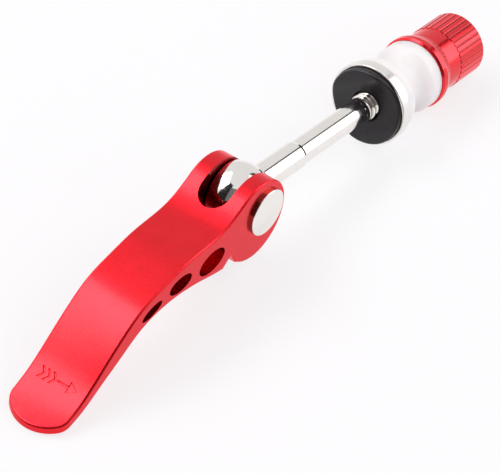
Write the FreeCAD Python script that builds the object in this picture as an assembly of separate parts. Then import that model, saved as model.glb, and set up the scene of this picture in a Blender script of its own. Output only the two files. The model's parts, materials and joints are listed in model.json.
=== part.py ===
import FreeCAD, Part
import math
import os

from FreeCAD import Vector

# Quick release skewer for a seat post clamp, in millimetres.
# Each piece is drawn in the bolt's own frame: the pivot of the lever is the origin, +X runs along
# the bolt to the thumb nut, and Y is the axis of the pivot pin. At the end the whole skewer is laid
# down on the tip of its lever and the rim of its nut, with +Z up.

# Clearances, each on the radius or on one side
PIN_CLEARANCE = 0.05
RIVET_CLEARANCE = 0.01
BORE_CLEARANCE = 0.30
THREAD_CLEARANCE = 0.05
SEAT_CLEARANCE = 0.17
EYE_SIDE_CLEARANCE = 0.20
EYE_BACK_CLEARANCE = 4.3

# Eye bolt
EYE_RADIUS = 7.0
EYE_WIDTH = 6.6
EYE_EDGE = 0.6
SHANK_RADIUS = 2.95
NECK_FILLET = 1.2
WAIST_RADIUS = 2.65
WAIST_START = 19.1
WAIST_LENGTH = 22.7
WAIST_TAPER = 0.8
THREAD_RADIUS = 2.93
THREAD_LENGTH = 34.4
THREAD_CHAMFER = 0.7

# Pivot pin, a headed rivet
PIN_RADIUS = 3.0
PIN_HEAD_RADIUS = 5.0
PIN_HEAD_HEIGHT = 1.0
PIN_HEAD_EDGE = 0.35

# Cam head of the lever, a disc set off from the pivot
CAM_RADIUS = 8.9
CAM_OFFSET_X = -2.1
CAM_OFFSET_Z = -1.5
CAM_TOP_ANGLE = 125.0
CAM_LOW_ANGLE = -122.0
LEVER_WIDTH = 13.7

# Notch under the head, between the cam lobe and the root of the arm
NOTCH_X = -9.6
NOTCH_Z = -5.7
NOTCH_RADIUS = 0.5
NOTCH_EDGE = 0.4
LOBE_END_X = -7.9
LOBE_END_Z = -8.2
ARM_ROOT_X = -11.6
ARM_ROOT_Z = -7.75

# Arm: reach from the pivot to the tip, and stations along its S shape, each with its share of the
# reach, the height of the top and the depth below it
LEVER_REACH = 61.8
ARM_STATIONS = [
    (0.218, 2.20, 10.15),
    (0.299, 1.20, 8.45),
    (0.396, 0.50, 7.15),
    (0.502, -1.20, 5.75),
    (0.607, -3.40, 5.45),
    (0.696, -7.30, 5.20),
    (0.785, -12.40, 3.90),
    (0.874, -17.25, 2.75),
    (0.955, -20.00, 1.95),
    (1.036, -22.00, 1.70),
]
TIP_RADIUS = 8.6
TIP_CORNER_RADIUS = 3.2
SIDE_FILLET = 0.45

# Oval windows through the arm: share of the reach, height, half length, half height, lean in degrees
WINDOWS = [
    (0.265, -3.75, 4.00, 2.50, 8.0),
    (0.426, -3.85, 3.45, 1.80, 4.0),
    (0.564, -5.75, 3.05, 1.15, 18.0),
]

# Cup washer and the saddle pad that sits in it
CUP_RADIUS = 8.85
CUP_WALL = 0.40
CUP_FLOOR = 0.50
CUP_DEPTH = 2.6
CUP_EDGE = 0.35
CUP_RIM_EDGE = 0.15
CUP_BACK_X = 47.55
PAD_PROUD = 1.55
PAD_TURN = 31.0
PAD_EDGE = 0.5
SADDLE_RADIUS = 15.5
SADDLE_HALF_WIDTH = 5.65

# Spool between the cup and the nut
SPOOL_LENGTH = 13.85
SPOOL_FRONT_RADIUS = 8.0
SPOOL_FRONT_WIDTH = 2.95
SPOOL_WAIST_RADIUS = 5.2
SPOOL_BACK_RADIUS = 7.4
SPOOL_BACK_WIDTH = 3.2
SPOOL_EDGE = 0.4

# Thumb nut
NUT_LENGTH = 16.6
NUT_FLANGE_RADIUS = 7.8
NUT_FLANGE_WIDTH = 1.5
NUT_FLANGE_CHAMFER = 0.35
NUT_BEVEL_WIDTH = 2.6
NUT_NECK_RADIUS = 6.7
NUT_GRIP_RADIUS = 6.83
NUT_END_ROUND = 0.5
NUT_COUNTERSINK = 0.7
GRIP_LENGTH = 8.5
FLUTE_COUNT = 34
FLUTE_RADIUS = 0.30
FLUTE_DEPTH = 0.16

# Directions and derived places
ORIGIN = Vector(0, 0, 0)
ALONG_BOLT = Vector(1, 0, 0)
ALONG_PIN = Vector(0, 1, 0)
UPWARD = Vector(0, 0, 1)
BIG = 60.0
NEAR = 0.01
FINE_MESH = 0.02
STEEPEST_TILT = 30.0
TILT_STEPS = 40
NOTCH_REACH = 3.0
NOTCH_LIP_REACH = 1.0
SIDE = LEVER_WIDTH / 2
CAM_CENTRE = Vector(CAM_OFFSET_X, 0, CAM_OFFSET_Z)
WAIST_END = WAIST_START + WAIST_LENGTH
BOLT_END = WAIST_END + THREAD_LENGTH
BORE_RADIUS = max(SHANK_RADIUS, THREAD_RADIUS) + BORE_CLEARANCE
SLOT_WIDTH = EYE_WIDTH + 2 * EYE_SIDE_CLEARANCE
SLOT_END_X = -(EYE_RADIUS + EYE_BACK_CLEARANCE)
SPOOL_BACK_X = CUP_BACK_X + SPOOL_LENGTH
CUP_FRONT_X = CUP_BACK_X - CUP_DEPTH
CUP_SEAT_X = CUP_BACK_X - CUP_FLOOR
PAD_FRONT_X = CUP_FRONT_X - PAD_PROUD
PAD_RADIUS = CUP_RADIUS - CUP_WALL - SEAT_CLEARANCE


def turned(points, axis=ALONG_BOLT):
    """A solid of revolution from a closed outline of (place on the axis, radius) points."""
    if axis is ALONG_BOLT:
        corners = [Vector(place, 0, radius) for place, radius in points]
    else:
        corners = [Vector(radius, place, 0) for place, radius in points]
    outline = Part.makePolygon(corners + corners[:1])
    return Part.Face(outline).revolve(ORIGIN, axis, 360)


def rod(radius, start, length, axis=ALONG_BOLT):
    """A round bar that starts at a place on the given axis through the origin."""
    return Part.makeCylinder(radius, length, axis * start, axis)


def rims(shape, places, radius):
    """The round edges of one radius about the bolt axis, at the given places along it."""
    found = []
    for edge in shape.Edges:
        box = edge.BoundBox
        across = max(box.YLength, box.ZLength) / 2
        for place in places:
            on_place = abs(box.Center.x - place) < NEAR and box.XLength < NEAR
            if on_place and abs(across - radius) < NEAR:
                found.append(edge)
    return found


def make_eye_bolt():
    """Ball eye with two flats, plain neck, thinner waist and the stretch that takes the thread."""
    ball = Part.makeSphere(EYE_RADIUS)
    slab = Part.makeBox(BIG, EYE_WIDTH, BIG, Vector(-BIG / 2, -EYE_WIDTH / 2, -BIG / 2))
    eye = ball.common(slab)
    flat = EYE_WIDTH / 2
    flat_rims = [edge for edge in eye.Edges if abs(abs(edge.BoundBox.Center.y) - flat) < NEAR]
    eye = eye.makeFillet(EYE_EDGE, flat_rims)
    shank = turned([
        (0, 0),
        (0, SHANK_RADIUS),
        (WAIST_START, SHANK_RADIUS),
        (WAIST_START + WAIST_TAPER, WAIST_RADIUS),
        (WAIST_END - WAIST_TAPER, WAIST_RADIUS),
        (WAIST_END, THREAD_RADIUS),
        (BOLT_END - THREAD_CHAMFER, THREAD_RADIUS),
        (BOLT_END, THREAD_RADIUS - THREAD_CHAMFER),
        (BOLT_END, 0),
    ])
    bolt = eye.fuse(shank).removeSplitter()
    neck_x = math.sqrt(EYE_RADIUS ** 2 - SHANK_RADIUS ** 2)
    bolt = bolt.makeFillet(NECK_FILLET, rims(bolt, [neck_x], SHANK_RADIUS))
    return bolt.cut(rod(PIN_RADIUS + PIN_CLEARANCE, -SIDE, LEVER_WIDTH, ALONG_PIN))


def make_pivot_pin():
    """Plain shaft between two low round heads that lie on the sides of the lever."""
    face = SIDE + PIN_HEAD_HEIGHT
    side = [
        (-face, 0),
        (-face, PIN_HEAD_RADIUS - PIN_HEAD_EDGE),
        (-face + PIN_HEAD_EDGE, PIN_HEAD_RADIUS),
        (-SIDE, PIN_HEAD_RADIUS),
        (-SIDE, PIN_RADIUS),
    ]
    mirrored = [(-place, radius) for place, radius in reversed(side)]
    return turned(side + mirrored, ALONG_PIN)


def arm_curve(points, start_direction):
    """A smooth edge through points of the lever's outline, with its first direction set."""
    is_set = [True] + [False] * (len(points) - 1)
    curve = Part.BSplineCurve()
    curve.interpolate(Points=points, Tangents=[start_direction] * len(points), TangentFlags=is_set)
    return curve.toShape()


def on_cam(degrees):
    """A point on the rim of the cam disc."""
    angle = math.radians(degrees)
    return CAM_CENTRE + Vector(math.cos(angle), 0, math.sin(angle)) * CAM_RADIUS


def make_lever_blank():
    """The lever's side outline across its full width: cam disc with the two curves of the arm."""
    top_start = on_cam(CAM_TOP_ANGLE)
    low_start = on_cam(CAM_LOW_ANGLE)
    front = on_cam((CAM_TOP_ANGLE + CAM_LOW_ANGLE) / 2)
    upper = [Vector(-share * LEVER_REACH, 0, top) for share, top, depth in ARM_STATIONS]
    lower = [Vector(-share * LEVER_REACH, 0, top - depth) for share, top, depth in ARM_STATIONS]
    edges = [
        Part.Arc(low_start, front, top_start).toShape(),
        arm_curve([top_start] + upper, (top_start - CAM_CENTRE).cross(ALONG_PIN).normalize()),
        Part.makeLine(upper[-1], lower[-1]),
        arm_curve([low_start] + lower, ALONG_PIN.cross(low_start - CAM_CENTRE).normalize()),
    ]
    face = Part.Face(Part.Wire(Part.__sortEdges__(edges)))
    face.translate(Vector(0, -SIDE, 0))
    return face.extrude(Vector(0, LEVER_WIDTH, 0))


def make_notch():
    """A bar of V section across the lever, with a rounded apex, that parts the lobe from the arm."""
    apex = Vector(NOTCH_X, 0, NOTCH_Z)
    lobe_side = apex + (Vector(LOBE_END_X, 0, LOBE_END_Z) - apex) * NOTCH_REACH
    root_side = apex + (Vector(ARM_ROOT_X, 0, ARM_ROOT_Z) - apex) * NOTCH_REACH
    face = Part.Face(Part.makePolygon([apex, lobe_side, root_side, apex]))
    face.translate(ALONG_PIN * -BIG / 2)
    notch = face.extrude(ALONG_PIN * BIG)
    apex_edges = [edge for edge in notch.Edges if is_across(edge) and is_at(edge, NOTCH_X, NOTCH_Z)]
    return notch.makeFillet(NOTCH_RADIUS, apex_edges)


def make_tip_plan():
    """The lever seen from above: straight sides and a blunt rounded tip, as a tall block."""
    tip_centre = TIP_RADIUS - LEVER_REACH
    corner_y = SIDE - TIP_CORNER_RADIUS
    corner_x = tip_centre - math.sqrt((TIP_RADIUS - TIP_CORNER_RADIUS) ** 2 - corner_y ** 2)
    corner = Vector(corner_x, corner_y, 0)
    meet = (corner - Vector(tip_centre, 0, 0)).normalize() * TIP_RADIUS + Vector(tip_centre, 0, 0)
    bend = (meet - corner).normalize() + Vector(0, 1, 0)
    middle = corner + bend.normalize() * TIP_CORNER_RADIUS
    side_start = corner + Vector(0, TIP_CORNER_RADIUS, 0)

    def across(point):
        return Vector(point.x, -point.y, point.z)

    far = Vector(BIG, SIDE, 0)
    edges = [
        Part.Arc(meet, Vector(-LEVER_REACH, 0, 0), across(meet)).toShape(),
        Part.Arc(meet, middle, side_start).toShape(),
        Part.Arc(across(meet), across(middle), across(side_start)).toShape(),
        Part.makeLine(side_start, far),
        Part.makeLine(across(side_start), across(far)),
        Part.makeLine(far, across(far)),
    ]
    face = Part.Face(Part.Wire(Part.__sortEdges__(edges)))
    face.translate(Vector(0, 0, -BIG))
    return face.extrude(Vector(0, 0, 2 * BIG))


def make_window(share, height, half_length, half_height, lean):
    """An oval bar across the lever, to be cut from its arm."""
    centre = Vector(-share * LEVER_REACH, -BIG / 2, height)
    angle = math.radians(lean)
    along = Vector(math.cos(angle), 0, math.sin(angle)) * half_length
    above = Vector(-math.sin(angle), 0, math.cos(angle)) * half_height
    oval = Part.Ellipse(centre + along, centre + above, centre)
    return Part.Face(Part.Wire(oval.toShape())).extrude(ALONG_PIN * BIG)


def make_lever():
    """Forked cam lever: disc head on the pivot, slot for the eye, S-shaped arm with windows."""
    blank = make_lever_blank().common(make_tip_plan())
    blank = blank.makeFillet(SIDE_FILLET, [edge for edge in blank.Edges if not is_across(edge)])
    blank = blank.cut(make_notch())
    mouth = [edge for edge in blank.Edges if is_across(edge) and is_notch_mouth(edge.BoundBox.Center)]
    blank = blank.makeFillet(NOTCH_EDGE, mouth)
    slot_radius = SLOT_WIDTH / 2
    slot_centre_x = SLOT_END_X + slot_radius
    slot = Part.makeBox(BIG, SLOT_WIDTH, BIG, Vector(slot_centre_x, -slot_radius, -BIG / 2))
    slot = slot.fuse(Part.makeCylinder(slot_radius, BIG, Vector(slot_centre_x, 0, -BIG / 2), UPWARD))
    lever = blank.cut(slot.removeSplitter())
    for window in WINDOWS:
        lever = lever.cut(make_window(*window))
    return lever.cut(rod(PIN_RADIUS + RIVET_CLEARANCE, -SIDE, LEVER_WIDTH, ALONG_PIN))


def is_across(edge):
    """True for an edge that runs straight across the lever, or upright at its tip."""
    box = edge.BoundBox
    straight_across = box.XLength < FINE_MESH and box.ZLength < FINE_MESH
    upright = box.XLength < FINE_MESH and box.YLength < FINE_MESH
    return straight_across or upright


def is_at(edge, x, z):
    """True for an edge whose middle lies at the given place in side view."""
    middle = edge.BoundBox.Center
    return abs(middle.x - x) < NEAR and abs(middle.z - z) < NEAR


def is_notch_mouth(point):
    """True for a point at one of the two lips of the notch, where its walls leave the lever."""
    beside = ARM_ROOT_X - NOTCH_LIP_REACH < point.x < LOBE_END_X + NOTCH_LIP_REACH
    return beside and point.z < max(ARM_ROOT_Z, LOBE_END_Z) + NOTCH_LIP_REACH / 2


def make_cup_washer():
    """Shallow pressed cup with a thin wall, open towards the lever."""
    inner = CUP_RADIUS - CUP_WALL
    cup = turned([
        (CUP_FRONT_X, inner),
        (CUP_FRONT_X, CUP_RADIUS),
        (CUP_BACK_X, CUP_RADIUS),
        (CUP_BACK_X, BORE_RADIUS),
        (CUP_SEAT_X, BORE_RADIUS),
        (CUP_SEAT_X, inner),
    ])
    cup = cup.makeFillet(CUP_EDGE, rims(cup, [CUP_BACK_X], CUP_RADIUS))
    return cup.makeFillet(CUP_RIM_EDGE, rims(cup, [CUP_FRONT_X], CUP_RADIUS))


def make_cam_pad():
    """Plastic disc in the cup, with a round saddle across it for the cam of the lever."""
    pad = turned([
        (PAD_FRONT_X, BORE_RADIUS),
        (PAD_FRONT_X, PAD_RADIUS),
        (CUP_SEAT_X, PAD_RADIUS),
        (CUP_SEAT_X, BORE_RADIUS),
    ])
    saddle_x = PAD_FRONT_X - math.sqrt(SADDLE_RADIUS ** 2 - SADDLE_HALF_WIDTH ** 2)
    turn = math.radians(PAD_TURN)
    groove = Vector(0, math.cos(turn), -math.sin(turn))
    saddle = Part.makeCylinder(SADDLE_RADIUS, BIG, Vector(saddle_x, 0, 0) - groove * BIG / 2, groove)
    pad = pad.makeFillet(PAD_EDGE, rims(pad, [PAD_FRONT_X], PAD_RADIUS))
    return pad.cut(saddle)


def make_spool_spacer():
    """Nylon spool: two flanges of different size with a hollow waist between them."""
    front_end = CUP_BACK_X + SPOOL_FRONT_WIDTH
    back_start = SPOOL_BACK_X - SPOOL_BACK_WIDTH
    waist = Part.Arc(
        Vector(front_end, 0, SPOOL_FRONT_RADIUS),
        Vector((front_end + back_start) / 2, 0, SPOOL_WAIST_RADIUS),
        Vector(back_start, 0, SPOOL_BACK_RADIUS),
    )
    corners = [
        Vector(back_start, 0, SPOOL_BACK_RADIUS),
        Vector(SPOOL_BACK_X, 0, SPOOL_BACK_RADIUS),
        Vector(SPOOL_BACK_X, 0, BORE_RADIUS),
        Vector(CUP_BACK_X, 0, BORE_RADIUS),
        Vector(CUP_BACK_X, 0, SPOOL_FRONT_RADIUS),
        Vector(front_end, 0, SPOOL_FRONT_RADIUS),
    ]
    outline = Part.Wire([waist.toShape()] + Part.makePolygon(corners).Edges)
    spool = Part.Face(outline).revolve(ORIGIN, ALONG_BOLT, 360)
    edges = rims(spool, [CUP_BACK_X, front_end], SPOOL_FRONT_RADIUS)
    edges += rims(spool, [back_start, SPOOL_BACK_X], SPOOL_BACK_RADIUS)
    return spool.makeFillet(SPOOL_EDGE, edges)


def make_thumb_nut():
    """Round thumb nut: bevelled flange, plain neck and a fluted grip with a rounded end."""
    start = SPOOL_BACK_X
    end = start + NUT_LENGTH
    bore = THREAD_RADIUS + THREAD_CLEARANCE
    flange_end = start + NUT_FLANGE_WIDTH
    grip_start = end - GRIP_LENGTH
    nut = turned([
        (start, bore),
        (start, NUT_FLANGE_RADIUS - NUT_FLANGE_CHAMFER),
        (start + NUT_FLANGE_CHAMFER, NUT_FLANGE_RADIUS),
        (flange_end, NUT_FLANGE_RADIUS),
        (flange_end + NUT_BEVEL_WIDTH, NUT_NECK_RADIUS),
        (grip_start, NUT_NECK_RADIUS),
        (grip_start, NUT_GRIP_RADIUS),
        (end, NUT_GRIP_RADIUS),
        (end, bore + NUT_COUNTERSINK),
        (end - NUT_COUNTERSINK, bore),
    ])
    nut = nut.makeFillet(NUT_END_ROUND, rims(nut, [end], NUT_GRIP_RADIUS))
    flute_axis = NUT_GRIP_RADIUS - FLUTE_DEPTH + FLUTE_RADIUS
    flute = Part.makeCylinder(FLUTE_RADIUS, GRIP_LENGTH, Vector(grip_start, 0, flute_axis), ALONG_BOLT)
    flutes = []
    for index in range(FLUTE_COUNT):
        copy = flute.copy()
        copy.rotate(ORIGIN, ALONG_BOLT, 360.0 * index / FLUTE_COUNT)
        flutes.append(copy)
    return nut.cut(Part.makeCompound(flutes))


def resting_tilt(lever, row):
    """The tilt in degrees at which the lever's tip and the pieces on the bolt are equally low."""
    lever_points = lever.tessellate(FINE_MESH)[0]
    row_points = [point for piece in row for point in piece.tessellate(FINE_MESH)[0]]

    def lowest(points, angle):
        return min(point.z * math.cos(angle) - point.x * math.sin(angle) for point in points)

    level = 0.0
    steep = math.radians(STEEPEST_TILT)
    for _ in range(TILT_STEPS):
        middle = (level + steep) / 2
        if lowest(lever_points, middle) < lowest(row_points, middle):
            level = middle
        else:
            steep = middle
    return math.degrees(level)


def main():
    pieces = {
        "eye_bolt": make_eye_bolt(),
        "pivot_pin": make_pivot_pin(),
        "lever": make_lever(),
        "cam_pad": make_cam_pad(),
        "cup_washer": make_cup_washer(),
        "spool_spacer": make_spool_spacer(),
        "thumb_nut": make_thumb_nut(),
    }
    tilt = resting_tilt(pieces["lever"], [pieces["cup_washer"], pieces["thumb_nut"]])
    for shape in pieces.values():
        shape.rotate(ORIGIN, ALONG_PIN, tilt)
    boxes = [shape.optimalBoundingBox(False, False) for shape in pieces.values()]
    middle_x = (min(box.XMin for box in boxes) + max(box.XMax for box in boxes)) / 2
    floor_z = min(box.ZMin for box in boxes)
    os.makedirs("parts", exist_ok=True)
    for name, shape in pieces.items():
        shape.translate(Vector(-middle_x, 0, -floor_z))
        shape.exportStep("parts/" + name + ".step")
    print("tilt", tilt, "pivot", -middle_x, -floor_z)


main()
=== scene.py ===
"""Looks of a quick release skewer for a seat post clamp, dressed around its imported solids."""

import json
import math

import bmesh
import bpy
from mathutils import Matrix, Vector
from mathutils.bvhtree import BVHTree
from mathutils.interpolate import poly_3d_calc


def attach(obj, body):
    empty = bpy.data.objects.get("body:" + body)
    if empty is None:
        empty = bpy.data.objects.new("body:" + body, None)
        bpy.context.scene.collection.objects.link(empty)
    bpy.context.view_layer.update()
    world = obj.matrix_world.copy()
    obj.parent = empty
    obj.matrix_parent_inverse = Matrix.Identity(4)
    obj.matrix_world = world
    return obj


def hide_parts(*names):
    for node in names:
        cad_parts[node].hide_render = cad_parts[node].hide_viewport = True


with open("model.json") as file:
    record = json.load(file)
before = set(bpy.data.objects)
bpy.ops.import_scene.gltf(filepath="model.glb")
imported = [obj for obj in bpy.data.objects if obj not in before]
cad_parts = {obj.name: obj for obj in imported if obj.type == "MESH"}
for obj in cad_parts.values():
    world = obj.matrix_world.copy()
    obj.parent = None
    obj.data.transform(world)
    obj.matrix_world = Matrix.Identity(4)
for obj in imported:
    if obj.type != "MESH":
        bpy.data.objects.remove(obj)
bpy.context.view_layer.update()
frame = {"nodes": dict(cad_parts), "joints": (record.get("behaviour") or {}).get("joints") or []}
nodes = frame["nodes"]
joints = {joint["name"]: joint for joint in frame["joints"]}

# Lengths are in metres and angles in degrees
MM = 0.001
WHITE = (1.0, 1.0, 1.0)
BLACK = (0.0, 0.0, 0.0)

# Camera: the point on the floor that it looks at, and its place seen from there
CAMERA_AIM = Vector((-0.42, 0.40, 0.0)) * MM
CAMERA_BEARING = -56.94
CAMERA_RISE = 41.93
CAMERA_DISTANCE = 738.1 * MM
CAMERA_ROLL = 5.664
CAMERA_LENS = 268.34

# Softboxes: bearing and rise of the middle, distance, width, height, radiance, and whether
# metal mirrors them
SOFTBOXES = {
    "key_softbox": (55.0, 29.0, 0.75, 0.42, 0.74, 2.0, True),
    "back_softbox": (-158.0, 53.0, 0.85, 0.80, 0.36, 4.3, True),
    "front_fill": (-20.0, 40.0, 1.00, 0.90, 0.90, 1.1, False),
}

# Room: what lights the part from all round, and what metal mirrors of the walls
ROOM_FILL = (0.41, 0.373, 0.383)
ROOM_WALLS = (0.84, 0.84, 0.84)

# Cards that only metal mirrors: first and last bearing, first and last rise, brightness
CARDS = {
    "streak_card": (-126.0, -94.0, 0.0, 68.0, 0.02),
    "camera_side_card": (-94.0, 4.0, 0.0, 60.0, 0.18),
    "gap_card": (79.5, 87.5, 14.0, 46.0, 0.02),
    "bounce_card": (-200.0, -130.0, 2.0, 40.0, 1.15),
}
CARD_DISTANCE = 0.70
CARD_STEPS = 24

# Floor: its paper, and the share of plain white in what the camera and metal see of it
FLOOR_HALF_SIZE = 1.5
FLOOR_COLOUR = (0.91, 0.90, 0.95)
FLOOR_ROUGHNESS = 0.9
FLOOR_SPECULAR = 0.1
FLOOR_LIFT = 0.74
FLOOR_MIRRORED_LIFT = 0.80

# Materials: a noise value is spread from its usual least to its usual greatest
NOISE_LEAST = 0.3
NOISE_GREATEST = 0.7
# Layer with the share of a second colour that the materials mix in: painted shade, with an oily
# brown on the thread
GROOVE = "groove"
RED_SHEEN = (1.0, 0.55, 0.58)
# Dark red painted as shade in the nut's flutes and on the slot's walls
RED_PAINTED_SHADE = (0.24, 0.002, 0.005)
COAT_ROUGHNESS = 0.14
COAT_IOR = 1.45
NICKEL_DARK = (0.85, 0.815, 0.785)
NICKEL_LIGHT = (0.89, 0.86, 0.83)
# Oily brown in the thread's roots, which also stands as painted shade there and on the rivet
# heads' sides
OIL_AND_PAINTED_SHADE = (0.30, 0.21, 0.15)
BLACK_DARK = (0.008, 0.0065, 0.0088)
BLACK_LIGHT = (0.014, 0.012, 0.015)
BLACK_SPECULAR = 0.42
NYLON_DARK = (0.90, 0.865, 0.86)
NYLON_LIGHT = (0.93, 0.905, 0.90)
NYLON_DEPTH = 3.0 * MM
NYLON_DEPTH_BY_COLOUR = (1.0, 0.85, 0.8)
NYLON_MILKINESS = 0.85

# Thread rolled on the bolt, with its turns that are hidden in the waist
WAIST_END = 41.8 * MM
WAIST_RADIUS = 2.65 * MM
THREAD_PITCH = 1.25 * MM
THREAD_DEPTH = 0.62 * MM
THREAD_CHAMFER = 0.7 * MM
THREAD_STEPS = 48
THREAD_RINGS = 12
THREAD_SPARE_TURNS = 2
THREAD_START = WAIST_END - 3 * THREAD_PITCH
THREAD_CUT = WAIST_END - 1.5 * THREAD_PITCH
SHANK_CUT = WAIST_END - THREAD_PITCH

# Saddle pad
SADDLE_RADIUS = 15.5 * MM
SADDLE_HALF_WIDTH = 5.65 * MM
SADDLE_TURN = 31.0
PAD_RIM_ROUND = 0.55 * MM
PAD_LIP_ROUND = 0.30 * MM
PAD_BORE_ROUND = 0.25 * MM
PAD_SPOKES = 288
PAD_RINGS = 44
ROUND_STEPS = 8

# Pivot pin with its two heads
PIN_RADIUS = 3.0 * MM
PIN_HEAD_RADIUS = 5.0 * MM
PIN_HEAD_HEIGHT = 1.0 * MM
PIN_HEAD_ROUND = 0.15 * MM
PIN_DOME = 0.20 * MM
# Share of brown painted as shade on the sides and undersides of the heads
PIN_SIDE_SHADE = 1.0
PIN_SEGMENTS = 160

# Direction mark pressed into the lever near its tip: chevrons and an arrow across it
MARK_REACH = 52.9 * MM
MARK_HALF_LENGTH = 4.6 * MM
MARK_HEIGHT = 2.6 * MM
MARK_STROKE = 0.56 * MM
MARK_DEPTH = 0.20 * MM
MARK_TAPER = 0.19 * MM
MARK_LIP = 0.01 * MM
MARK_CLEAR = 1.0 * MM
CHEVRONS = 3
CHEVRON_STEP = 1.35 * MM
CHEVRON_SLOPE = 0.7
CHEVRON_WIDTH = 1.25 * MARK_STROKE
ARROW_TAIL = 4.4 * MM
ARROW_HEAD = 2.2 * MM
OVER_PART = 50 * MM

# Slot of the fork, whose milled walls get painted shade
SLOT_HALF_WIDTH = 3.5 * MM
SLOT_REACH = 11.4 * MM
SLOT_UPRIGHT = 0.05
SLOT_PAINTED_SHADE = 0.8

# Flutes of the nut's grip, which get painted shade by their depth: depths as shares of the usual
# one
GRIP_LENGTH = 8.5 * MM
GRIP_END = 0.4 * MM
GRIP_RADIUS = 6.83 * MM
FLUTE_DEPTH = 0.16 * MM
FLUTE_SHALLOWEST = 0.08
FLUTE_DEEPEST = 1.3
FLUTE_LEVEL = 0.1

# Surfaces: the least angle of a hard edge, how near a point is joined to another or lies on
# the CAD surface, the least cosine between a face and the CAD face under it, and how far a
# corner is drawn into its face to find the CAD face
HARD_EDGE = 38.0
JOINED = 0.001 * MM
ON_SURFACE = 0.004 * MM
SAME_FACING = 0.97
INTO_FACE = 0.02

# Frame of the bolt: X along it to the nut, Y along the pivot pin, Z up
ALONG = Vector(joints["nut_turn"]["axis"]).normalized()
ACROSS = Vector(joints["lever_swing"]["axis"]).normalized()
BOLT = Matrix((ALONG, ACROSS, ALONG.cross(ACROSS))).transposed().to_4x4()
BOLT.translation = Vector(joints["lever_swing"]["pos_m"])
TO_BOLT = BOLT.inverted()


def new_object(name, data):
    """A new object with this data, linked to the scene."""
    made = bpy.data.objects.new(name, data)
    bpy.context.scene.collection.objects.link(made)
    return made


def dress(piece, material):
    """Gives a piece one material."""
    piece.data.materials.clear()
    piece.data.materials.append(material)


def points_of(node):
    """Points of a CAD node in the bolt's frame."""
    return [TO_BOLT @ vertex.co for vertex in nodes[node].data.vertices]


def reach_of(node):
    """Ends along the bolt and the least and greatest radius of a CAD node."""
    points = points_of(node)
    places = [point.x for point in points]
    radii = [math.hypot(point.y, point.z) for point in points]
    return min(places), max(places), min(radii), max(radii)


def shade(mesh):
    """Smooth shading, apart from hard edges."""
    mesh.shade_smooth()
    mesh.set_sharp_from_angle(angle=math.radians(HARD_EDGE))


def piece_from(name, shape, body, node):
    """A shown piece made from a bmesh in the bolt's frame, which stands for one CAD node."""
    bmesh.ops.recalc_face_normals(shape, faces=shape.faces)
    mesh = bpy.data.meshes.new(name)
    shape.to_mesh(mesh)
    shape.free()
    mesh.transform(BOLT)
    shade(mesh)
    piece = new_object(name, mesh)
    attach(piece, body)
    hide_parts(node)
    return piece


def copy_of(node):
    """A bmesh copy of a CAD node in the bolt's frame, with its faces joined."""
    shape = bmesh.new()
    shape.from_mesh(nodes[node].data)
    shape.transform(TO_BOLT)
    bmesh.ops.remove_doubles(shape, verts=shape.verts, dist=JOINED)
    return shape


def sweep(shape, rows, closed):
    """Quads between rings of points, and between the last ring and the first if closed."""
    made = [[shape.verts.new(point) for point in row] for row in rows]
    pairs = list(zip(made, made[1:])) + ([(made[-1], made[0])] if closed else [])
    for one, two in pairs:
        for index in range(len(one)):
            after = (index + 1) % len(one)
            shape.faces.new((one[index], one[after], two[after], two[index]))
    return made


def take_cad_normals(piece, node, reach=ON_SURFACE):
    """Faces that lie on the CAD surface take its exact normals, so they reflect as smoothly."""
    mesh = piece.data
    source = nodes[node].data
    cad_normals = [corner.vector.copy() for corner in source.corner_normals]
    tree = BVHTree.FromPolygons(
        [vertex.co for vertex in source.vertices],
        [face.vertices for face in source.polygons],
    )
    normals = [corner.vector.copy() for corner in mesh.corner_normals]
    for face in mesh.polygons:
        _, _, index, distance = tree.find_nearest(face.center)
        facing = source.polygons[index].normal.dot(face.normal)
        if distance > reach or facing < SAME_FACING:
            continue
        for loop in face.loop_indices:
            corner = mesh.vertices[mesh.loops[loop].vertex_index].co
            place, _, index, _ = tree.find_nearest(corner.lerp(face.center, INTO_FACE))
            cad_face = source.polygons[index]
            ring = [source.vertices[vertex].co for vertex in cad_face.vertices]
            normal = Vector()
            for weight, cad_loop in zip(poly_3d_calc(ring, place), cad_face.loop_indices):
                normal += cad_normals[cad_loop] * weight
            normals[loop] = normal.normalized()
    mesh.normals_split_custom_set(normals)


def cut_off(shape, place, side):
    """Clears what lies beyond a place along the bolt, on the side of the nut (1) or eye (-1)."""
    bmesh.ops.bisect_plane(
        shape,
        geom=shape.verts[:] + shape.edges[:] + shape.faces[:],
        plane_co=(place, 0, 0),
        plane_no=(side, 0, 0),
        clear_outer=True,
    )


def close_holes(shape):
    """Fills what a cut has left open."""
    bmesh.ops.holes_fill(shape, edges=[edge for edge in shape.edges if edge.is_boundary])


def thread_radius(place, share, crest, end):
    """Radius of the rolled thread: it grows out of the waist and ends in a chamfer."""
    grown = min(max((place - WAIST_END) / THREAD_PITCH, 0.0), 1.0)
    radius = crest - THREAD_DEPTH * (1.0 - share)
    radius = WAIST_RADIUS + (radius - WAIST_RADIUS) * grown
    return min(radius, crest - THREAD_CHAMFER + max(end - place, 0.0))


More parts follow.
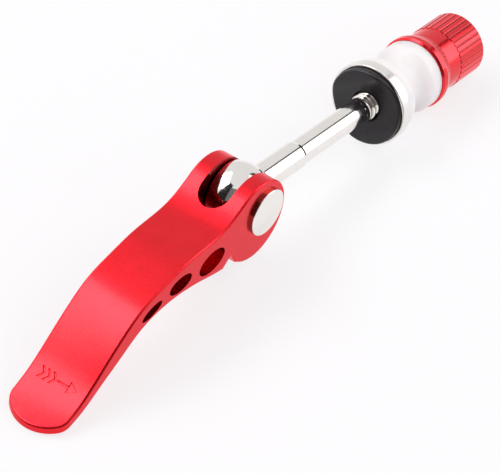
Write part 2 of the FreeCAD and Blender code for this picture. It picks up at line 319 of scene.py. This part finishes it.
def rolled_thread(crest, end):
    """A closed bmesh of the thread, with the depth of its groove kept for the material: its roots
    get an oily brown and painted shade.
    """
    thread = bmesh.new()
    oil_and_shade = thread.verts.layers.float.new(GROOVE)
    turns = math.ceil((end - THREAD_START) / THREAD_PITCH) + THREAD_SPARE_TURNS
    rows = []
    for step in range(turns * THREAD_STEPS + 1):
        angle = 2 * math.pi * step / THREAD_STEPS
        row = []
        for ring in range(THREAD_RINGS):
            along = ring / THREAD_RINGS
            share = 0.5 + 0.5 * math.cos(2 * math.pi * along)
            place = THREAD_START + THREAD_PITCH * (step / THREAD_STEPS + along)
            radius = thread_radius(place, share, crest, end)
            vertex = thread.verts.new(
                (place, radius * math.cos(angle), radius * math.sin(angle))
            )
            # Oily brown and painted shade, strongest in the roots of the thread
            vertex[oil_and_shade] = (1.0 - share) ** 2 if place > WAIST_END else 0.0
            row.append(vertex)
        rows.append(row)
    for step in range(len(rows) - 1):
        one, two = rows[step], rows[step + 1]
        for index in range(THREAD_RINGS - 1):
            thread.faces.new((one[index], one[index + 1], two[index + 1], two[index]))
        if step + THREAD_STEPS + 1 < len(rows):
            next_one, next_two = rows[step + THREAD_STEPS], rows[step + THREAD_STEPS + 1]
            thread.faces.new((one[-1], next_one[0], next_two[0], two[-1]))
    cut_off(thread, THREAD_CUT, -1)
    cut_off(thread, end, 1)
    bmesh.ops.remove_doubles(thread, verts=thread.verts, dist=ON_SURFACE)
    bmesh.ops.dissolve_degenerate(thread, edges=thread.edges, dist=ON_SURFACE)
    close_holes(thread)
    return thread


def make_bolt():
    """The eye and shank of the CAD bolt, with a rolled thread in place of its plain end."""
    _, end, _, _ = reach_of("eye_bolt")
    plain_end = [point for point in points_of("eye_bolt") if point.x > WAIST_END]
    crest = max(math.hypot(point.y, point.z) for point in plain_end)
    shape = copy_of("eye_bolt")
    shape.verts.layers.float.new(GROOVE)
    cut_off(shape, SHANK_CUT, 1)
    close_holes(shape)
    thread = rolled_thread(crest, end)
    rolled = bpy.data.meshes.new("rolled_thread")
    thread.to_mesh(rolled)
    thread.free()
    shape.from_mesh(rolled)
    bpy.data.meshes.remove(rolled)
    bolt = piece_from("threaded_eye_bolt", shape, "bolt", "eye_bolt")
    take_cad_normals(bolt, "eye_bolt")
    return bolt


def saddle_depth(across, land):
    """Place of the pad's face along the bolt: the flat land, or the saddle where it is deeper."""
    rise = math.sqrt(SADDLE_RADIUS ** 2 - SADDLE_HALF_WIDTH ** 2)
    hollow = land - rise + math.sqrt(max(SADDLE_RADIUS ** 2 - across ** 2, 0.0))
    blend = max(PAD_LIP_ROUND - abs(hollow - land), 0.0) / PAD_LIP_ROUND
    return max(hollow, land) + blend ** 2 * PAD_LIP_ROUND / 4


def pad_section(bore, outer):
    """Radii across the pad's face with the drop of each below it, or none on the pad's back."""
    quarter = [math.pi / 2 * step / ROUND_STEPS for step in range(ROUND_STEPS + 1)]
    inside, outside = bore + PAD_BORE_ROUND, outer - PAD_RIM_ROUND
    section = [(bore, None)]
    for angle in quarter:
        radius = bore + PAD_BORE_ROUND * (1 - math.cos(angle))
        section.append((radius, PAD_BORE_ROUND * (1 - math.sin(angle))))
    for step in range(1, PAD_RINGS):
        section.append((inside + (outside - inside) * step / PAD_RINGS, 0.0))
    for angle in quarter:
        radius = outside + PAD_RIM_ROUND * math.sin(angle)
        section.append((radius, PAD_RIM_ROUND * (1 - math.cos(angle))))
    return section + [(outer, None)]


def make_pad():
    """Moulded disc with a round saddle, whose rim, lips and bore are softly rounded."""
    land, back, bore, outer = reach_of("cam_pad")
    turn = math.radians(SADDLE_TURN)
    rows = []
    for radius, drop in pad_section(bore, outer):
        row = []
        for spoke in range(PAD_SPOKES):
            angle = 2 * math.pi * spoke / PAD_SPOKES
            y, z = radius * math.cos(angle), radius * math.sin(angle)
            across = y * math.sin(turn) + z * math.cos(turn)
            place = back if drop is None else saddle_depth(across, land) + drop
            row.append((place, y, z))
        rows.append(row)
    shape = bmesh.new()
    sweep(shape, rows, closed=True)
    return piece_from("moulded_cam_pad", shape, "pad", "cam_pad")


def make_pin():
    """Rivet with two low domed heads, whose sides are kept for the material to get painted shade.
    """
    end = max(abs(point.y) for point in points_of("pivot_pin"))
    side = end - PIN_HEAD_HEIGHT
    shoulder = end - PIN_DOME - PIN_HEAD_ROUND
    flat = PIN_HEAD_RADIUS - PIN_HEAD_ROUND
    half = [(side, PIN_RADIUS), (side, PIN_HEAD_RADIUS)]
    for step in range(ROUND_STEPS + 1):
        angle = math.pi / 2 * step / ROUND_STEPS
        place = shoulder + PIN_HEAD_ROUND * math.sin(angle)
        half.append((place, flat + PIN_HEAD_ROUND * math.cos(angle)))
    for step in range(1, ROUND_STEPS):
        share = 1 - step / ROUND_STEPS
        half.append((end - PIN_DOME * share ** 2, flat * share))
    profile = [(-place, radius) for place, radius in reversed(half)] + half
    angles = [2 * math.pi * step / PIN_SEGMENTS for step in range(PIN_SEGMENTS)]
    rows = []
    for place, radius in profile:
        rows.append([(radius * math.cos(a), place, radius * math.sin(a)) for a in angles])
    shape = bmesh.new()
    made = sweep(shape, rows, closed=False)
    for ring, place in ((made[0], -end), (made[-1], end)):
        middle = shape.verts.new((0, place, 0))
        for index in range(PIN_SEGMENTS):
            shape.faces.new((ring[index], ring[(index + 1) % PIN_SEGMENTS], middle))
    # Painted shade on the sides and undersides of the heads, and on the shank
    oil_and_shade = shape.faces.layers.float.new(GROOVE)
    for face in shape.faces:
        if abs(face.calc_center_median().y) < shoulder:
            face[oil_and_shade] = PIN_SIDE_SHADE
    return piece_from("domed_pivot_pin", shape, "lever", "pivot_pin")


def mark_outlines():
    """Outlines of the mark in its plane: u across the lever to the near side, v to its head."""
    half = MARK_HEIGHT / 2
    outlines = []
    for count in range(CHEVRONS):
        start = -MARK_HALF_LENGTH + count * CHEVRON_STEP
        tip = start + half * CHEVRON_SLOPE
        back = [(start, half), (tip, 0), (start, -half)]
        front = [(u + CHEVRON_WIDTH, v) for u, v in reversed(back)]
        outlines.append(back + front)
    shaft = MARK_STROKE / 2
    tail, tip = -MARK_HALF_LENGTH + ARROW_TAIL, MARK_HALF_LENGTH
    head = tip - ARROW_HEAD
    outlines.append([
        (tail, shaft), (tail, -shaft), (head, -shaft), (head, -half),
        (tip, 0), (head, half), (head, shaft),
    ])
    return outlines


def inset(outline, amount):
    """An outline drawn in by an amount on every side."""
    points = [Vector(point) for point in outline]
    following = points[1:] + points[:1]
    around = sum(one.x * two.y - two.x * one.y for one, two in zip(points, following))
    inward = math.copysign(1.0, around)
    made = []
    for index, point in enumerate(points):
        before = (point - points[index - 1]).normalized()
        after = (following[index] - point).normalized()
        one = Vector((-before.y, before.x)) * inward
        two = Vector((-after.y, after.x)) * inward
        made.append(point + (one + two) * (amount / (1.0 + one.dot(two))))
    return made


def mark_tool(lever_shape):
    """An object that cuts the mark, with sloping walls and a floor that follows the lever."""
    tree = BVHTree.FromBMesh(lever_shape)
    over = Vector((-MARK_REACH, 0, OVER_PART))
    place, normal, _, _ = tree.ray_cast(over, Vector((0, 0, -1)))
    to_near = Vector((0, -1, 0))
    to_head = normal.cross(to_near)
    cutter = bmesh.new()
    for outline in mark_outlines():
        floor = inset(outline, MARK_TAPER)
        rows = []
        for drawn, lift in ((floor, -MARK_DEPTH), (outline, MARK_LIP), (outline, MARK_CLEAR)):
            row = []
            for u, v in drawn:
                above = place + to_near * u + to_head * v + normal * MARK_CLEAR
                row.append(tree.ray_cast(above, -normal)[0] + normal * lift)
            rows.append(row)
        made = sweep(cutter, rows, closed=False)
        cutter.faces.new(made[0])
        cutter.faces.new(made[-1])
    bmesh.ops.recalc_face_normals(cutter, faces=cutter.faces)
    cutter.transform(BOLT)
    mesh = bpy.data.meshes.new("mark_tool")
    cutter.to_mesh(mesh)
    cutter.free()
    return new_object("mark_tool", mesh)


def darken_slot(mesh):
    """Keeps for the material which faces are the walls of the slot, which get painted shade."""
    depth = mesh.attributes.new(GROOVE, "FLOAT", "FACE").data
    turned = TO_BOLT.to_3x3()
    for face in mesh.polygons:
        place, facing = TO_BOLT @ face.center, turned @ face.normal
        within = abs(place.y) < SLOT_HALF_WIDTH + ON_SURFACE and place.x > -SLOT_REACH
        inward = facing.y * place.y < 0 or facing.x > SLOT_UPRIGHT
        if within and inward and abs(facing.z) < SLOT_UPRIGHT:
            # Painted shade on the walls of the slot
            depth[face.index].value = SLOT_PAINTED_SHADE


def make_lever():
    """The CAD lever with the direction mark pressed into the top of its tip."""
    shape = copy_of("lever")
    tool = mark_tool(shape)
    lever = piece_from("marked_lever", shape, "lever", "lever")
    modifier = lever.modifiers.new("mark", "BOOLEAN")
    modifier.operation = "DIFFERENCE"
    modifier.solver = "EXACT"
    modifier.object = tool
    bpy.context.view_layer.update()
    shown = lever.evaluated_get(bpy.context.evaluated_depsgraph_get())
    marked = bpy.data.meshes.new_from_object(shown)
    lever.modifiers.clear()
    lever.data = marked
    bpy.data.objects.remove(tool)
    shade(marked)
    take_cad_normals(lever, "lever", MARK_DEPTH + ON_SURFACE)
    # The slot's walls get painted shade
    darken_slot(marked)
    return lever


def make_nut():
    """The CAD nut, with the depth of its flutes kept for the material, which paints shade in them
    by it.
    """
    _, end, _, _ = reach_of("thumb_nut")
    middle, half = end - GRIP_LENGTH / 2, GRIP_LENGTH / 2 - GRIP_END
    shape = copy_of("thumb_nut")
    depth = shape.faces.layers.float.new(GROOVE)
    for face in shape.faces:
        place = face.calc_center_median()
        if abs(place.x - middle) < half and abs(face.normal.x) < FLUTE_LEVEL:
            sunk = (GRIP_RADIUS - math.hypot(place.y, place.z)) / FLUTE_DEPTH
            # Painted shade, stronger in deeper flutes
            face[depth] = sunk if FLUTE_SHALLOWEST < sunk < FLUTE_DEEPEST else 0.0
    nut = piece_from("fluted_thumb_nut", shape, "nut", "thumb_nut")
    take_cad_normals(nut, "thumb_nut")
    return nut


def opaque(colour):
    """A colour as a socket takes it."""
    return (*colour, 1.0)


def new_material(name):
    """A material with its node tree and its principled shader."""
    material = bpy.data.materials.new(name)
    material.use_nodes = True
    tree = material.node_tree
    return material, tree, tree.nodes["Principled BSDF"]


def noise(tree, scale, detail):
    """A noise texture on the piece's own coordinates, in features per metre."""
    coordinates = tree.nodes.new("ShaderNodeTexCoord")
    texture = tree.nodes.new("ShaderNodeTexNoise")
    texture.inputs["Scale"].default_value = scale
    texture.inputs["Detail"].default_value = detail
    tree.links.new(coordinates.outputs["Object"], texture.inputs["Vector"])
    return texture.outputs["Fac"]


def spread(tree, value, low, high, socket):
    """Feeds a socket with a noise value spread between two numbers."""
    ranged = tree.nodes.new("ShaderNodeMapRange")
    ranged.inputs["From Min"].default_value = NOISE_LEAST
    ranged.inputs["From Max"].default_value = NOISE_GREATEST
    ranged.inputs["To Min"].default_value = low
    ranged.inputs["To Max"].default_value = high
    tree.links.new(value, ranged.inputs["Value"])
    tree.links.new(ranged.outputs["Result"], socket)


def tint(tree, value, dark, light, socket):
    """Feeds a colour socket with a noise value between two near colours."""
    ramp = tree.nodes.new("ShaderNodeValToRGB")
    for element, position, colour in zip(
        ramp.color_ramp.elements, (NOISE_LEAST, NOISE_GREATEST), (dark, light)
    ):
        element.position = position
        element.color = opaque(colour)
    tree.links.new(value, ramp.inputs["Fac"])
    tree.links.new(ramp.outputs["Color"], socket)


def tint_grooved(tree, value, dark, light, in_grooves, socket):
    """Feeds a colour socket as tint does, and mixes in a second colour where the piece's groove
    layer says: painted shade, with an oily brown on the thread.
    """
    mix = tree.nodes.new("ShaderNodeMix")
    mix.data_type = "RGBA"
    groove = tree.nodes.new("ShaderNodeAttribute")
    groove.attribute_name = GROOVE
    tint(tree, value, dark, light, mix.inputs["A"])
    mix.inputs["B"].default_value = opaque(in_grooves)
    tree.links.new(groove.outputs["Fac"], mix.inputs["Factor"])
    tree.links.new(mix.outputs["Result"], socket)


def relief(tree, value, shader, height, strength):
    """A fine bump on the shader's normal."""
    bump = tree.nodes.new("ShaderNodeBump")
    bump.inputs["Strength"].default_value = strength
    bump.inputs["Distance"].default_value = height
    tree.links.new(value, bump.inputs["Height"])
    tree.links.new(bump.outputs["Normal"], shader.inputs["Normal"])


def red_anodised(name, dark, light, coat, smooth, rough):
    """Etched aluminium under a clear red oxide, with a fine grain and painted shade in its flutes
    and slot.
    """
    material, tree, shader = new_material(name)
    sockets = shader.inputs
    sockets["Metallic"].default_value = 1.0
    sockets["Specular Tint"].default_value = opaque(RED_SHEEN)
    sockets["Coat Weight"].default_value = coat
    sockets["Coat Roughness"].default_value = COAT_ROUGHNESS
    sockets["Coat IOR"].default_value = COAT_IOR
    tone = noise(tree, scale=260.0, detail=2.0)
    tint_grooved(tree, tone, dark, light, RED_PAINTED_SHADE, sockets["Base Color"])
    spread(tree, noise(tree, scale=900.0, detail=4.0), smooth, rough, sockets["Roughness"])
    grain = noise(tree, scale=5200.0, detail=3.0)
    relief(tree, grain, shader, height=0.004 * MM, strength=0.10)
    return material


def nickel_plate(name, smooth, rough):
    """Bright nickel on steel, with the ripple and haze of plating, and brown painted shade in
    grooves, oily on the thread.
    """
    material, tree, shader = new_material(name)
    sockets = shader.inputs
    sockets["Metallic"].default_value = 1.0
    tone = noise(tree, scale=320.0, detail=2.0)
    tint_grooved(tree, tone, NICKEL_DARK, NICKEL_LIGHT, OIL_AND_PAINTED_SHADE, sockets["Base Color"])
    spread(tree, noise(tree, scale=700.0, detail=4.0), smooth, rough, sockets["Roughness"])
    ripple = noise(tree, scale=420.0, detail=1.0)
    relief(tree, ripple, shader, height=0.02 * MM, strength=0.20)
    return material


def black_moulding(name, smooth, rough):
    """Matt black plastic with the fine grain of its mould."""
    material, tree, shader = new_material(name)
    sockets = shader.inputs
    tone = noise(tree, scale=480.0, detail=3.0)
    tint(tree, tone, BLACK_DARK, BLACK_LIGHT, sockets["Base Color"])
    sockets["Specular IOR Level"].default_value = BLACK_SPECULAR
    spread(tree, noise(tree, scale=1500.0, detail=4.0), smooth, rough, sockets["Roughness"])
    grain = noise(tree, scale=3800.0, detail=3.0)
    relief(tree, grain, shader, height=0.012 * MM, strength=0.35)
    return material


def white_nylon(name, smooth, rough):
    """Milky moulded nylon that lets a little light into its skin."""
    material, tree, shader = new_material(name)
    sockets = shader.inputs
    sockets["Subsurface Weight"].default_value = NYLON_MILKINESS
    sockets["Subsurface Radius"].default_value = NYLON_DEPTH_BY_COLOUR
    sockets["Subsurface Scale"].default_value = NYLON_DEPTH
    tone = noise(tree, scale=300.0, detail=2.0)
    tint(tree, tone, NYLON_DARK, NYLON_LIGHT, sockets["Base Color"])
    spread(tree, noise(tree, scale=1100.0, detail=3.0), smooth, rough, sockets["Roughness"])
    grain = noise(tree, scale=2600.0, detail=3.0)
    relief(tree, grain, shader, height=0.010 * MM, strength=0.25)
    return material


def calculate(tree, operation, *values):
    """Output of a math node on two values, which are sockets or numbers."""
    node = tree.nodes.new("ShaderNodeMath")
    node.operation = operation
    for value, socket in zip(values, node.inputs):
        if isinstance(value, float):
            socket.default_value = value
        else:
            tree.links.new(value, socket)
    return node.outputs[0]


def mix_shaders(tree, share, one, two):
    """Output of a mix of two shaders, by the share of the second."""
    mix = tree.nodes.new("ShaderNodeMixShader")
    for value, socket in zip((share, one, two), mix.inputs):
        tree.links.new(value, socket)
    return mix.outputs["Shader"]


def floor_paper(name):
    """Pale paper that the camera and metal see a little lighter than the lamps make it."""
    material, tree, shader = new_material(name)
    shader.inputs["Base Color"].default_value = opaque(FLOOR_COLOUR)
    shader.inputs["Roughness"].default_value = FLOOR_ROUGHNESS
    shader.inputs["Specular IOR Level"].default_value = FLOOR_SPECULAR
    glow = tree.nodes.new("ShaderNodeEmission")
    rays = tree.nodes.new("ShaderNodeLightPath").outputs
    seen = calculate(tree, "MAXIMUM", rays["Is Camera Ray"], rays["Is Transmission Ray"])
    lifted = calculate(tree, "MULTIPLY", seen, FLOOR_LIFT)
    mirrored = calculate(tree, "MULTIPLY", rays["Is Glossy Ray"], FLOOR_MIRRORED_LIFT)
    share = calculate(tree, "MAXIMUM", lifted, mirrored)
    surface = mix_shaders(tree, share, shader.outputs["BSDF"], glow.outputs["Emission"])
    tree.links.new(surface, tree.nodes["Material Output"].inputs["Surface"])
    return material


def bearing_vector(bearing, rise):
    """Unit vector at a bearing, where 0 is to -Y and 90 to +X, and a rise above the floor."""
    turn, lift = math.radians(bearing), math.radians(rise)
    level = math.cos(lift)
    return Vector((math.sin(turn) * level, -math.cos(turn) * level, math.sin(lift)))


def make_floor():
    """A wide plain floor under the part."""
    size = FLOOR_HALF_SIZE
    mesh = bpy.data.meshes.new("floor")
    corners = [(-size, -size, 0), (size, -size, 0), (size, size, 0), (-size, size, 0)]
    mesh.from_pydata(corners, [], [(0, 1, 2, 3)])
    floor = new_object("floor", mesh)
    dress(floor, floor_paper("floor_paper"))


def make_lights():
    """Softboxes beside the nut and behind the lever, and a weak fill from the front."""
    for name, values in SOFTBOXES.items():
        bearing, rise, distance, width, height, radiance, mirrored = values
        lamp = bpy.data.lights.new(name, "AREA")
        lamp.shape = "RECTANGLE"
        lamp.size = width
        lamp.size_y = height
        lamp.energy = radiance * math.pi * width * height
        box = new_object(name, lamp)
        towards = bearing_vector(bearing, rise)
        box.location = towards * distance
        box.rotation_mode = "QUATERNION"
        box.rotation_quaternion = (-towards).to_track_quat("-Z", "Y")
        box.visible_camera = False
        box.visible_glossy = mirrored


def background(tree, colour):
    """Output of a new background of one colour."""
    node = tree.nodes.new("ShaderNodeBackground")
    node.inputs["Color"].default_value = opaque(colour)
    return node.outputs["Background"]


def make_room():
    """Soft fill from all round, in a room that the camera sees as white and metal as pale."""
    world = bpy.data.worlds.new("room")
    bpy.context.scene.world = world
    world.use_nodes = True
    tree = world.node_tree
    fill = tree.nodes["Background"]
    fill.inputs["Color"].default_value = opaque(ROOM_FILL)
    walls, white = background(tree, ROOM_WALLS), background(tree, WHITE)
    rays = tree.nodes.new("ShaderNodeLightPath").outputs
    seen = calculate(tree, "MAXIMUM", rays["Is Camera Ray"], rays["Is Transmission Ray"])
    mirrored = mix_shaders(tree, rays["Is Glossy Ray"], fill.outputs["Background"], walls)
    shown = mix_shaders(tree, seen, mirrored, white)
    tree.links.new(shown, tree.nodes["World Output"].inputs["Surface"])


def card_paint(name, brightness):
    """A plain glow that reflects nothing itself."""
    material, _, shader = new_material(name)
    shader.inputs["Base Color"].default_value = opaque(BLACK)
    shader.inputs["Specular IOR Level"].default_value = 0.0
    shader.inputs["Emission Color"].default_value = opaque(WHITE)
    shader.inputs["Emission Strength"].default_value = brightness
    return material


def make_cards():
    """Curved cards round the part, dark and pale, which only its metal mirrors."""
    width = CARD_STEPS + 1
    for name, values in CARDS.items():
        first_bearing, last_bearing, first_rise, last_rise, brightness = values
        points = []
        for column in range(width):
            bearing = first_bearing + (last_bearing - first_bearing) * column / CARD_STEPS
            for row in range(width):
                rise = first_rise + (last_rise - first_rise) * row / CARD_STEPS
                points.append(bearing_vector(bearing, rise) * CARD_DISTANCE)
        faces = []
        for column in range(CARD_STEPS):
            for row in range(CARD_STEPS):
                corner = column * width + row
                faces.append((corner, corner + 1, corner + width + 1, corner + width))
        mesh = bpy.data.meshes.new(name)
        mesh.from_pydata(points, [], faces)
        card = new_object(name, mesh)
        dress(card, card_paint(name, brightness))
        card.visible_camera = False
        card.visible_diffuse = False
        card.visible_transmission = False
        card.visible_shadow = False


def make_camera():
    """The camera at the photograph's viewing angle."""
    back = bearing_vector(CAMERA_BEARING, CAMERA_RISE)
    data = bpy.data.cameras.new("camera")
    data.lens = CAMERA_LENS
    camera = new_object("camera", data)
    camera.location = CAMERA_AIM + back * CAMERA_DISTANCE
    camera.rotation_mode = "QUATERNION"
    level = (-back).to_track_quat("-Z", "Y").to_matrix()
    roll = Matrix.Rotation(math.radians(CAMERA_ROLL), 3, "Z")
    camera.rotation_quaternion = (level @ roll).to_quaternion()
    bpy.context.scene.camera = camera


dress(make_lever(), red_anodised(
    "red_anodised", dark=(0.80, 0.008, 0.018), light=(0.85, 0.010, 0.022),
    coat=0.50, smooth=0.26, rough=0.30,
))
dress(make_bolt(), nickel_plate("nickel_plate", smooth=0.07, rough=0.13))
dress(make_pin(), nickel_plate("nickel_rivet", smooth=0.10, rough=0.16))
dress(make_pad(), black_moulding("black_moulding", smooth=0.32, rough=0.44))
dress(make_nut(), red_anodised(
    "red_anodised_turned", dark=(0.80, 0.010, 0.020), light=(0.86, 0.013, 0.024),
    coat=0.85, smooth=0.22, rough=0.28,
))
dress(nodes["cup_washer"], nickel_plate("nickel_pressed", smooth=0.27, rough=0.30))
dress(nodes["spool_spacer"], white_nylon("white_nylon", smooth=0.36, rough=0.48))
make_floor()
make_lights()
make_room()
make_cards()
make_camera()
bpy.context.scene.view_settings.view_transform = "Standard"
